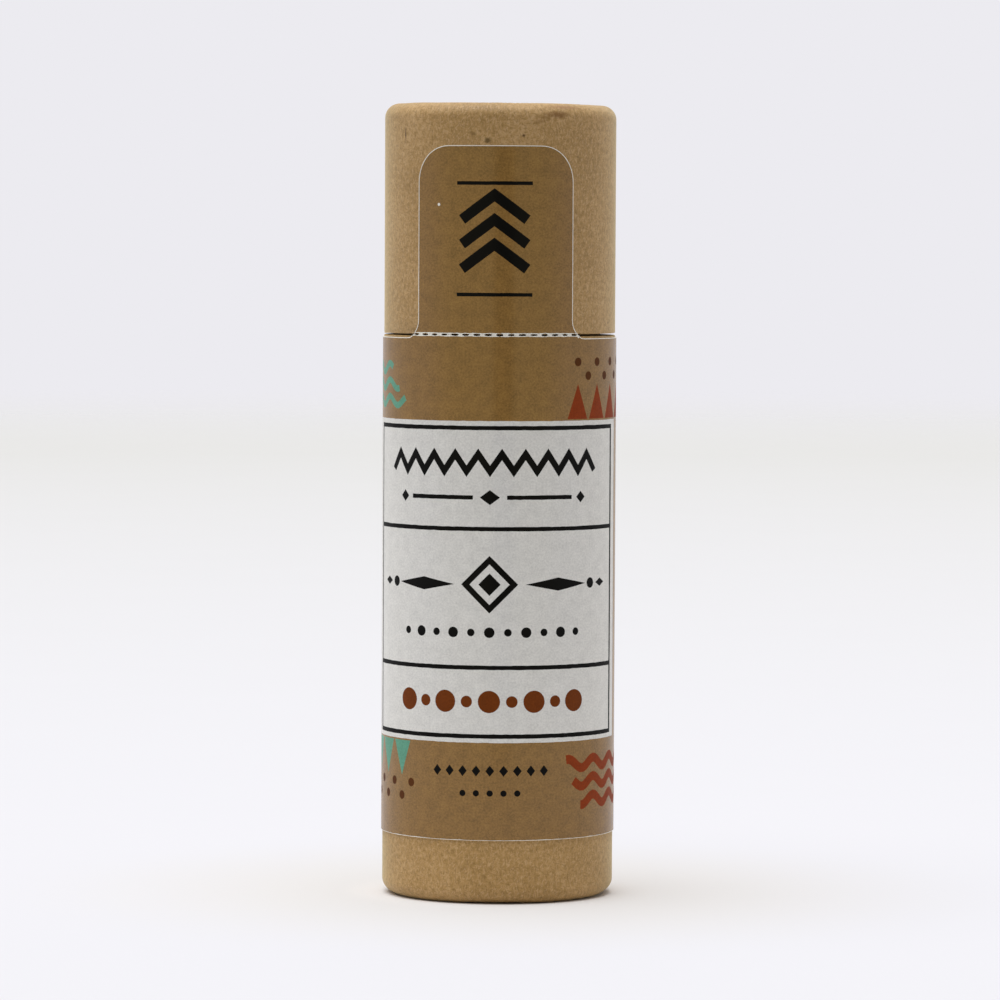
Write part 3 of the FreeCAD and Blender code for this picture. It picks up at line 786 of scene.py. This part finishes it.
class BALMTUBE_OT_balm(bpy.types.Operator):
    """Make the poured balm, with its hollow top, ripples and pinholes"""

    bl_idname = "balm_tube.balm"
    bl_label = "Balm"

    def execute(self, context):
        foot, top = low("balm_stick"), high("balm_stick")
        flat_r = PISTON_R - BALM_EDGE
        section = [(r, foot) for r in np.linspace(0.0, PISTON_R - BALM_EASE, 6)]
        section += [(PISTON_R, foot + BALM_EASE)]
        section += run((PISTON_R, foot + BALM_EASE), (PISTON_R, top - BALM_EDGE), 24)
        section += arc((flat_r, top - BALM_EDGE), BALM_EDGE, 0, 90, 10)[1:]
        section += [(r, top - BALM_DISH * (1 - (r / flat_r) ** 2))
                    for r in np.linspace(flat_r, 0.0, 56)[1:]]
        radius = np.array([point[0] for point in section])
        poured = np.array([point[1] for point in section]) > top - BALM_EDGE
        draw = np.random.default_rng(77)
        pits = [(draw.uniform(*PIT_OUT), draw.uniform(0, TAU), draw.uniform(*PIT_SIZE))
                for _ in range(PIT_COUNT)]

        def relief(turns):
            across, along = radius * np.sin(turns)[:, None], radius * np.cos(turns)[:, None]
            # The skin set in rings round the spot where the pouring stopped.
            off = np.hypot(across - RIPPLE_SPOT[0], along - RIPPLE_SPOT[1])
            sunk = RIPPLE_DEPTH * (1 + np.cos(off * RIPPLE_RATE)) * np.exp(-off / RIPPLE_REACH)
            for out, turn, size in pits:
                away = np.hypot(across - out * math.sin(turn), along - out * math.cos(turn))
                sunk = sunk + PIT_DEPTH * size * np.exp(-(away / size) ** 2 * PIT_STEEP)
            drag = DRAG_DEPTH * gathered(turns, DRAG_LINES, 5)[:, None]
            return np.where(poured, sunk, drag)

        balm = poured_balm("poured cocoa butter and beeswax", context.scene.balm_tube_colours.balm)
        mesh = turned("poured_balm", section, round_turns(BOARD_TURNS), relief, planar=True)
        add_piece("poured_balm", mesh, "balm_stick", [balm])
        return {"FINISHED"}


def bar(left, foot, right, top, rough, seed):
    """A printed bar, its edges a little uneven."""
    draw = np.random.default_rng(seed)
    corners = [(left, foot), (right, foot), (right, top), (left, top)]
    step = 0.4  # millimetres
    points = []
    for start, end in zip(corners, corners[1:] + corners[:1]):
        steps = max(1, round(math.dist(start, end) / step))
        points += [tuple(p) for p in np.linspace(start, end, steps + 1)[:-1]]
    return [tuple(np.add(p, draw.uniform(-rough, rough, 2) / 2)) for p in points]


def disc(across, up, radius, sides=20):
    """A printed dot."""
    return [(across + radius * math.cos(i * TAU / sides), up + radius * math.sin(i * TAU / sides))
            for i in range(sides)]


def lozenge(across, up, wide, tall):
    """A printed lozenge, by its half width and half height."""
    return [(across + wide, up), (across, up + tall), (across - wide, up), (across, up - tall)]


def ribbon(points, wide):
    """A printed line of one width along some points, with mitred corners."""
    line = np.array(points, dtype=float)
    step = np.diff(line, axis=0)
    side = np.stack((-step[:, 1], step[:, 0]), axis=1) / np.linalg.norm(step, axis=1, keepdims=True)
    mitre = np.vstack((side[:1], side)) + np.vstack((side, side[-1:]))
    least = 0.6  # of a mitre's square, which keeps the point of a sharp corner short
    mitre *= wide / np.maximum(np.sum(mitre * mitre, axis=1, keepdims=True), least)
    return [tuple(p) for p in line + mitre] + [tuple(p) for p in (line - mitre)[::-1]]


def wavy(start, end, up, swing, wide):
    """A printed wavy line."""
    length, step = 3.4, 0.3  # millimetres
    across = np.arange(start, end + 0.01, step)
    return ribbon([(u, up + swing * math.sin(u * TAU / length)) for u in across], wide)


def zigzag(start, end, up, swing, teeth, wide):
    """A printed zigzag line."""
    across = np.linspace(start, end, 2 * teeth + 1)
    return ribbon([(u, up + (swing if i % 2 else -swing)) for i, u in enumerate(across)], wide)


def tooth(across, up, tall):
    """A printed triangle, standing on its base, or hanging where it is given a negative height."""
    half = 1.25  # millimetres
    return [(across - half, up), (across + half, up), (across, up + tall)]


def perforated_edge(side, tear, seed):
    """One edge of the perforation from left to right, above it (side 1) or below it (side -1): half
    of each slit, and the ragged tear across the ties between them."""
    draw = np.random.default_rng(seed)
    points = []
    for middle in SLITS:
        wide, tall = SLIT_WIDE * draw.uniform(0.88, 1.12), SLIT_TALL * draw.uniform(0.75, 1.15)
        points += [(middle + wide * math.cos(turn), PERFORATION + side * tall * math.sin(turn))
                   for turn in np.linspace(math.pi, 0.0, 9)]
        points.append((middle + wide + TIE_GAP, PERFORATION + side * draw.uniform(TIE_TEAR, tear)))
    return points


def print_edge(side, seed):
    """The printed ground's edge along the perforation from left to right: nearly straight, so that the
    paper shows white on the ties."""
    draw = np.random.default_rng(seed)
    return [(u, PERFORATION + side * draw.uniform(*BARE_TIE))
            for u in np.linspace(-TAB_FOOT, TAB_FOOT, 3 * SLIT_COUNT)]


def tab_outline(inset, foot_edge):
    """The seal tab's outline on the flat sheet, drawn in by an inset, above its lower edge."""
    half = TAB_WIDTH / 2
    wide = TAB_FOOT - half
    bow = (wide ** 2 + FLARE_TALL ** 2) / (2 * wide)
    flare = (half + bow, PERFORATION + FLARE_TALL)
    corner = (half - TAB_CORNER, TAB_TOP - TAB_CORNER)
    foot = math.degrees(math.asin(FLARE_TALL / bow))
    right = [p for p in arc(flare, bow + inset, 180 + foot, 180, 8) if p[1] > PERFORATION + 0.1]
    right += run((half - inset, PERFORATION + FLARE_TALL), (half - inset, corner[1]), 8)
    right += arc(corner, TAB_CORNER - inset, 0, 90, 14)[1:]
    left = [(-u, v) for u, v in reversed(right)]
    return foot_edge + right + left


def wrapped_print(name, prints, inks, step_up):
    """A sheet of label paper wrapped round the tube. prints lists each ink with its outline on the flat
    sheet, the sheet itself first and later ones on top. The sheet is cut along every outline, so
    that each ink has its own faces."""
    points, edges, faces = [], [], []
    for _, outline in prints:
        start = len(points)
        ring = np.array(outline)
        ahead = np.roll(ring, -1, axis=0)
        area = np.sum(ring[:, 0] * ahead[:, 1] - ahead[:, 0] * ring[:, 1])
        points += [Vector(p) for p in (outline if area > 0 else outline[::-1])]
        faces.append(list(range(start, len(points))))
    sheet = np.array(prints[0][1])
    (left, foot), (right, top) = sheet.min(axis=0), sheet.max(axis=0)
    lines = [((u, foot - 1), (u, top + 1)) for u in np.arange(left, right, GRID_TURN * LABEL_R)[1:]]
    lines += [((left - 1, v), (right + 1, v)) for v in np.arange(foot, top, step_up)[1:]]
    for start, end in lines:
        edges.append((len(points), len(points) + 1))
        points += [Vector(start), Vector(end)]
    flat, _, cells, _, _, owners = delaunay_2d_cdt(points, edges, faces, 0, 1e-5, True)
    kept = [(cell, max(owner)) for cell, owner in zip(cells, owners) if 0 in owner]
    used = sorted({corner for cell, _ in kept for corner in cell})
    fresh = {corner: i for i, corner in enumerate(used)}
    spot = np.array([flat[corner][:] for corner in used])
    turn, none = spot[:, 0] / LABEL_R, np.zeros(len(used))
    out = np.stack((np.sin(turn), -np.cos(turn), none), axis=1)
    rise = np.stack((none, none, spot[:, 1]), axis=1)
    places = np.vstack((out * LABEL_R + rise, out * LABEL_IN_R + rise)) * MM
    count = len(used)
    solid, ink_of, normals = [], [], []
    rim = {}
    for cell, top_print in kept:
        corners = [fresh[corner] for corner in cell]
        solid.append(corners)
        ink_of.append(inks.index(prints[top_print][0]))
        normals += [out[c] for c in corners]
        for a, b in zip(corners, corners[1:] + corners[:1]):
            if rim.pop((b, a), None) is None:
                rim[a, b] = True
    core = inks.index("core")
    for corners in list(solid):
        solid.append([c + count for c in reversed(corners)])
        ink_of.append(core)
        normals += [-out[c] for c in reversed(corners)]
    for a, b in rim:
        solid.append([b, a, a + count, b + count])
        ink_of.append(core)
        facing = np.cross(places[a] - places[b], places[a + count] - places[a])
        normals += [facing / max(np.linalg.norm(facing), 1e-12)] * 4
    mesh = bpy.data.meshes.new(name)
    mesh.from_pydata(places.tolist(), [], solid)
    mesh.polygons.foreach_set("material_index", ink_of)
    measured = np.vstack((spot, spot))[np.concatenate([np.array(face) for face in solid])]
    mesh.uv_layers.new(name=SHEET_MAP).uv.foreach_set("vector", measured.astype(np.float32).ravel())
    mesh.shade_smooth()
    mesh.normals_split_custom_set([Vector(n) for n in normals])
    return mesh


def panel_print(layout):
    """The pale panel with its ruled frame, two dividing rules and plain ornaments."""
    left, right = layout.rule_left / MM, layout.rule_right / MM
    levels = [level / MM for level in (
        layout.rule_low, layout.rule_second, layout.rule_third, layout.rule_high)]
    half = layout.rule_wide / MM / 2
    middle = (left + right) / 2
    prints = [("panel", bar(layout.panel_left / MM, layout.panel_low / MM,
                            layout.panel_right / MM, layout.panel_high / MM, INK_ROUGH, seed=1))]

    def black(outline):
        prints.append(("black", outline))

    for i, level in enumerate(levels):
        black(bar(left - half, level - half, right + half, level + half, INK_ROUGH, seed=2 + i))
    for i, place in enumerate((left, right)):
        black(bar(place - half, levels[0], place + half, levels[3], INK_ROUGH, seed=8 + i))
    # Upper field: a zigzag over a broken rule.
    black(zigzag(middle - 11.2, middle + 11.2, 41.5, swing=0.8, teeth=10, wide=0.62))
    row, thin = 38.25, 0.2
    for sign in (-1, 1):
        near, far = sorted((middle + sign * 1.6, middle + sign * 8.2))
        black(bar(near, row - thin, far, row + thin, INK_ROUGH, seed=12 + sign))
        black(lozenge(middle + sign * 9.3, row, wide=0.55, tall=0.55))
    black(lozenge(middle, row, wide=0.95, tall=0.7))
    # Middle field: a lozenge in a lozenge with long points, over a row of dots.
    row = 30.1
    for ink, size in (("black", 2.7), ("panel", 1.9), ("black", 1.05)):
        prints.append((ink, lozenge(middle, row, size, size)))
    for sign in (-1, 1):
        black(lozenge(middle + sign * 6.7, row, wide=3.3, tall=0.62))
        black(disc(middle + sign * 10.7, row, radius=0.5))
        black(lozenge(middle + sign * 12.3, row, wide=0.75, tall=0.4))
    row, pitch = 25.6, 1.75
    for i in range(-5, 6):
        black(disc(middle + i * pitch, row, 0.36 if i % 2 else 0.5, sides=16))
    # Lowest field: large and small discs in rust.
    row, pitch = 19.1, 2.15
    for i in range(-4, 5):
        prints.append(("rust", disc(middle + i * pitch, row, 0.55 if i % 2 else 1.05, sides=26)))
    return prints


def ground_print():
    """The plain pattern of bands, dots and teeth on the tan ground, all the way round."""
    prints = []
    for start, end, foot in ((-25.0, -9.6, 47.1), (22.6, 33.5, 47.8)):
        for i in range(3):
            wave = wavy(start + 0.8 * i, end - 1.1 * i, foot + 1.55 * i, swing=0.42, wide=0.62)
            prints.append(("teal", wave))
    # Rows of teeth under or over two rows of dots. Each row: ink, number, first tooth, first dot
    # between two teeth, foot and height of the teeth, and heights of the dots.
    pitch = 2.75
    for ink, count, first, between, foot, tall, dots in (
            ("terracotta", 5, 8.6, 9.98, 45.55, 3.3, (49.6, 50.9)),
            ("teal", 7, -26.5, -25.1, 15.1, -3.3, (11.2, 9.9))):
        for i in range(count):
            prints.append((ink, tooth(first + pitch * i, foot, tall)))
            for start, up in zip((between, first), dots):
                prints.append(("brown", disc(start + pitch * i, up, radius=0.42, sides=14)))
    for i in range(3):
        wave = wavy(7.4 + 0.9 * i, 30.5 - 1.1 * i, 13.1 - 1.75 * i, swing=0.45, wide=0.85)
        prints.append(("terracotta", wave))
    for row in range(9):
        for i in range(5):
            across = -31.2 + 2.4 * i + (1.2 if row % 2 else 0.0)
            ink = "terracotta" if (row + i) % 3 == 0 else "brown"
            prints.append((ink, lozenge(across, 20.0 + 2.9 * row, wide=0.62, tall=0.9)))
    # Two short rows of small black marks under the panel.
    middle, pitch = -0.2, 1.3
    for i in range(-4, 5):
        prints.append(("black", lozenge(middle + pitch * i, 12.6, wide=0.42, tall=0.52)))
    for i in range(-2, 3):
        prints.append(("black", disc(middle + pitch * i, 10.5, radius=0.3, sides=14)))
    # The back of the label: a small ruled panel with a zigzag over lozenges and rows of dots.
    prints.append(("panel", bar(21.6, 17.0, 33.4, 45.4, INK_ROUGH, seed=30)))
    edge = 0.22
    rules = ((22.2, 17.6, 32.8, 17.6 + edge), (22.2, 44.6, 32.8, 44.6 + edge),
             (22.2, 17.6, 22.2 + edge, 44.8), (32.6, 17.6, 32.6 + edge, 44.8),
             (22.2, 37.4, 32.8, 37.4 + edge))
    for i, rule in enumerate(rules):
        prints.append(("black", bar(*rule, INK_ROUGH / 2, seed=40 + i)))
    prints.append(("black", zigzag(24.2, 30.8, 41.9, swing=0.55, teeth=6, wide=0.4)))
    for i in range(5):
        prints.append(("rust", lozenge(24.5 + 1.5 * i, 39.6, wide=0.42, tall=0.5)))
    for row in range(8):
        for i in range(7):
            radius = 0.3 if (row + i) % 2 else 0.18
            prints.append(("black", disc(23.9 + 1.2 * i, 34.9 - 2.2 * row, radius, sides=12)))
    return prints


class BALMTUBE_OT_label(bpy.types.Operator):
    """Make the printed label round the base and its seal tab up the cap, parted at the perforation"""

    bl_idname = "balm_tube.label"
    bl_label = "Label and seal tab"

    def execute(self, context):
        colours, paper = context.scene.balm_tube_colours, context.scene.balm_tube_paper
        cut, tear = paper.cut_edge / MM, paper.tear_rough / MM
        inks = ["core", "ground", "panel", "black", "rust", "terracotta", "brown", "teal"]
        unevenness = {"core": 0.15, "panel": 0.14, "ground": 0.32}
        coats = {"core": 0.0, "ground": 0.62, "panel": 0.6, "teal": 0.3}
        finishes = [printed_paper(f"satin label paper, {ink}", getattr(colours, ink),
                                  unevenness.get(ink, 0.2), coats.get(ink, 0.06)) for ink in inks]
        half = (TAU * LABEL_R - LABEL_SEAM) / 2

        def label_edge(inset, torn):
            """The label's upper edge from right to left, drawn in by an inset. It rises by 0.05 mm
            beside the perforation."""
            ends = [(TAB_FOOT + 0.9, LABEL_TOP - inset), (TAB_FOOT + 0.35, LABEL_TOP + 0.05 - inset)]
            return ends + torn[::-1] + [(-u, v) for u, v in reversed(ends)]

        upper = label_edge(0.0, perforated_edge(-1, tear, seed=404))
        outline = [(-half, LABEL_LOW), (half, LABEL_LOW), (half, LABEL_TOP), *upper, (-half, LABEL_TOP)]
        draw = np.random.default_rng(60)
        foot = [(u, LABEL_LOW + cut * draw.uniform(0.35, 0.85))
                for u in np.linspace(-half + cut, half - cut, 117)]
        upper = label_edge(cut, print_edge(-1, seed=405))
        ground = foot + [(half - cut, LABEL_TOP - cut), *upper, (-half + cut, LABEL_TOP - cut)]
        prints = [("core", outline), ("ground", ground)]
        prints += ground_print() + panel_print(context.scene.balm_tube_print)
        # White paper laid bare where the two ends of the perforation began to tear.
        for end, wide, deep in ((1, 0.3, 0.34), (-1, 0.16, 0.2)):
            prints.append(("core", [
                (end * TAB_FOOT - wide, PERFORATION), (end * TAB_FOOT + wide, PERFORATION),
                (end * (TAB_FOOT - 0.05), PERFORATION - deep)]))
        mesh = wrapped_print("printed_label", prints, inks, step_up=2.6)
        add_piece("printed_label", mesh, "wrap_label", finishes)

        prints = [("core", tab_outline(0.0, perforated_edge(1, tear, seed=404)))]
        prints.append(("ground", tab_outline(cut, print_edge(1, seed=406))))
        # A speck of lint.
        prints.append(("core", disc(-5.5, 65.6, radius=0.15, sides=7)))
        # Three chevrons between two bars.
        wide, tall = 3.1, 2.3
        for i in range(3):
            rise = 59.6 + tall * i
            prints.append(("black", ribbon([(-wide, rise), (0.0, rise + tall), (wide, rise)], 1.0)))
        wide, thin = 3.6, 0.17
        for level in (57.2, 67.6):
            prints.append(("black", bar(-wide, level - thin, wide, level + thin, 0.02, seed=round(level))))
        mesh = wrapped_print("printed_seal_tab", prints, inks, step_up=2.2)
        add_piece("printed_seal_tab", mesh, "seal_tab", finishes)
        return {"FINISHED"}


def floor_finish(colour, warmed, far_painted_dim):
    """A pale table top. Away from the foot it glows by its own emission, painted light that keeps its
    shadows weak; round the foot its colour is drawn warmer, a painted bounce off the kraft; and further
    out it greys, a painted falloff of the light, fading into the backdrop far behind the object and
    ending a little way in front of it."""
    material, tree = start_material("opal acrylic")
    place = on_object(tree)
    far = vector_length(tree, place)
    # Painted falloff of the light: the colour greys from near the object to far behind it.
    tint = blend(tree, across_range(tree, far, FAR_FROM, FADE_FROM), colour, far_painted_dim)
    # Painted bounce light: round the foot the table's colour is drawn warmer, for light thrown off the
    # kraft into the shadow there.
    close = across_range(tree, far, PAINTED_BOUNCE_FROM, PAINTED_BOUNCE_TO, 1.0, 0.0, "SMOOTHSTEP")
    tint = blend(tree, close, tint, warmed)
    grain = noise(tree, place, per(30.0) / MM, 2.0)
    # Painted light: beyond the foot the table glows by its own emission, which lifts its shadows; under the
    # foot there is no glow, so the contact shadow stays dark.
    glow = across_range(tree, far, GLOW_FROM, GLOW_TO, 0.0, GLOW_LEVEL)
    board = add_node(tree, "ShaderNodeBsdfPrincipled", {
        "Base Color": blend(tree, glow, tint, BLACK),
        "Roughness": across_range(tree, grain, 0.0, 1.0, 0.8, 0.95), "Specular IOR Level": 0.1,
        "Emission Color": tint, "Emission Strength": glow})
    fade = across_range(tree, far, FADE_FROM, FADE_TO, curve="SMOOTHSTEP")
    front = across_range(tree, split(tree, place)["Y"], FRONT_FROM, FRONT_TO, curve="SMOOTHSTEP")
    clear = add_node(tree, "ShaderNodeBsdfTransparent")
    both = add_node(tree, "ShaderNodeMixShader", {
        0: maths(tree, "MAXIMUM", fade, front), 1: board.outputs["BSDF"], 2: clear.outputs["BSDF"]})
    add_node(tree, "ShaderNodeOutputMaterial", {"Surface": both.outputs["Shader"]})
    return material


def studio_world(scene, backdrop, room, fill):
    """A pale backdrop all round for the eye. A reflection gets a warmer room in front of the table,
    with a dim gap where the camera and its operator stand, and the light itself is a fill."""
    world = bpy.data.worlds.new("pale studio")
    world.use_nodes = True
    scene.world = world
    tree = world.node_tree
    tree.nodes.clear()
    rays = add_node(tree, "ShaderNodeLightPath").outputs
    shine = maths(tree, "MAXIMUM", rays["Is Glossy Ray"], rays["Is Transmission Ray"])
    way = add_node(tree, "ShaderNodeTexCoord").outputs["Generated"]
    parts = split(tree, way)
    ahead = maths(tree, "MULTIPLY", parts["Y"], -1.0)
    off = maths(tree, "SUBTRACT", maths(tree, "ARCTAN2", parts["X"], ahead), GAP_TURN)
    gap = across_range(tree, maths(tree, "ABSOLUTE", off), GAP_FROM, GAP_TO, GAP_LEVEL, 1.0, "SMOOTHSTEP")
    around = blend(tree, across_range(tree, ahead, 0.2, 0.8, curve="SMOOTHSTEP"), backdrop, room)
    # White walls beside and behind the table and a white ceiling, and a dimmer room in front.
    lean = add_node(tree, "ShaderNodeVectorMath", {0: way, 1: FILL_LEAN}, operation="DOT_PRODUCT")
    level = maths(tree, "MAXIMUM", maths(tree, "ADD", lean.outputs["Value"], fill), 0.0)
    light, mirrored, seen = (
        add_node(tree, "ShaderNodeBackground", {"Color": colour, "Strength": strength}).outputs[0]
        for colour, strength in ((FILL_TINT, level), (around, gap), (backdrop, 1.0)))
    both = add_node(tree, "ShaderNodeMixShader", {0: shine, 1: light, 2: mirrored}).outputs[0]
    every = add_node(tree, "ShaderNodeMixShader", {0: rays["Is Camera Ray"], 1: both, 2: seen}).outputs[0]
    add_node(tree, "ShaderNodeOutputWorld", {"Surface": every})


class BALMTUBE_OT_stage(bpy.types.Operator):
    """Set the table, the soft light and the camera"""

    bl_idname = "balm_tube.stage"
    bl_label = "Stage"

    def execute(self, context):
        scene = context.scene
        colours, studio = scene.balm_tube_colours, scene.balm_tube_studio
        scene.view_settings.view_transform = "Standard"

        points = [(0.0, 0.0, 0.0)]
        points += [(r * math.cos(turn), r * math.sin(turn), 0.0)
                   for r in TABLE_RINGS for turn in round_turns(TABLE_SIDES)]
        faces = [(0, 1 + i, 1 + (i + 1) % TABLE_SIDES) for i in range(TABLE_SIDES)]
        for ring in range(len(TABLE_RINGS) - 1):
            near, far = 1 + ring * TABLE_SIDES, 1 + (ring + 1) * TABLE_SIDES
            for i in range(TABLE_SIDES):
                j = (i + 1) % TABLE_SIDES
                faces.append((near + i, far + i, far + j, near + j))
        mesh = bpy.data.meshes.new("table_top")
        mesh.from_pydata(points, [], faces)
        mesh.materials.append(floor_finish(colours.floor, colours.floor_painted_bounce, colours.floor_far_painted_dim))
        table = bpy.data.objects.new("table_top", mesh)
        scene.collection.objects.link(table)

        studio_world(scene, colours.backdrop, colours.room, studio.fill)
        # A wide soft light over the table, a little to the left and in front. Its strength is an
        # irradiance.
        lamp = bpy.data.lights.new("softbox", "SUN")
        lamp.energy = studio.key * math.pi
        lamp.angle = LAMP_SPREAD
        lamp.color = LAMP_TINT
        softbox = bpy.data.objects.new("softbox", lamp)
        softbox.rotation_euler = Vector(LAMP_WAY).to_track_quat("-Z", "Y").to_euler()
        scene.collection.objects.link(softbox)

        lens = bpy.data.cameras.new("camera")
        lens.lens = studio.lens
        lens.sensor_width = SENSOR_WIDE
        lens.clip_start, lens.clip_end = CLIP_NEAR, CLIP_FAR
        camera = bpy.data.objects.new("camera", lens)
        place = Vector((studio.distance * math.sin(studio.turn),
                        -studio.distance * math.cos(studio.turn), studio.height))
        camera.matrix_world = (
            Matrix.Translation(place) @ Matrix.Rotation(studio.turn - CAMERA_ASIDE, 4, "Z")
            @ Matrix.Rotation(math.pi / 2 - studio.pitch, 4, "X") @ Matrix.Rotation(studio.roll, 4, "Z"))
        scene.collection.objects.link(camera)
        scene.camera = camera
        return {"FINISHED"}


class BALMTUBE_PT_panel(bpy.types.Panel):
    """The steps and settings of the paper tube"""

    bl_idname = "BALMTUBE_PT_panel"
    bl_label = "Paper tube lip balm"
    bl_space_type = "VIEW_3D"
    bl_region_type = "UI"
    bl_category = "Balm Tube"

    def draw(self, context):
        for step in STEPS:
            self.layout.operator(step.bl_idname)
        for name, group in GROUPS.items():
            box = self.layout.box()
            box.label(text=group.__doc__)
            for choice in group.__annotations__:
                box.prop(getattr(context.scene, name), choice)


GROUPS = {
    "balm_tube_paper": BalmTubePaper,
    "balm_tube_print": BalmTubePrint,
    "balm_tube_colours": BalmTubeColours,
    "balm_tube_studio": BalmTubeStudio,
}
STEPS = (
    BALMTUBE_OT_stage, BALMTUBE_OT_kraft_wraps, BALMTUBE_OT_wound_boards, BALMTUBE_OT_neck_lining,
    BALMTUBE_OT_discs, BALMTUBE_OT_balm, BALMTUBE_OT_label,
)


def register():
    """Registers the settings, the steps and the panel."""
    for kind in (*GROUPS.values(), *STEPS, BALMTUBE_PT_panel):
        bpy.utils.register_class(kind)
    for name, group in GROUPS.items():
        setattr(bpy.types.Scene, name, PointerProperty(type=group))


def unregister():
    """Takes them out again."""
    for name in GROUPS:
        delattr(bpy.types.Scene, name)
    for kind in reversed((*GROUPS.values(), *STEPS, BALMTUBE_PT_panel)):
        bpy.utils.unregister_class(kind)


def main():
    """Builds the whole scene, step by step."""
    register()
    for step in STEPS:
        group, step_name = step.bl_idname.split(".")
        getattr(getattr(bpy.ops, group), step_name)()


if __name__ == "__main__":
    main()
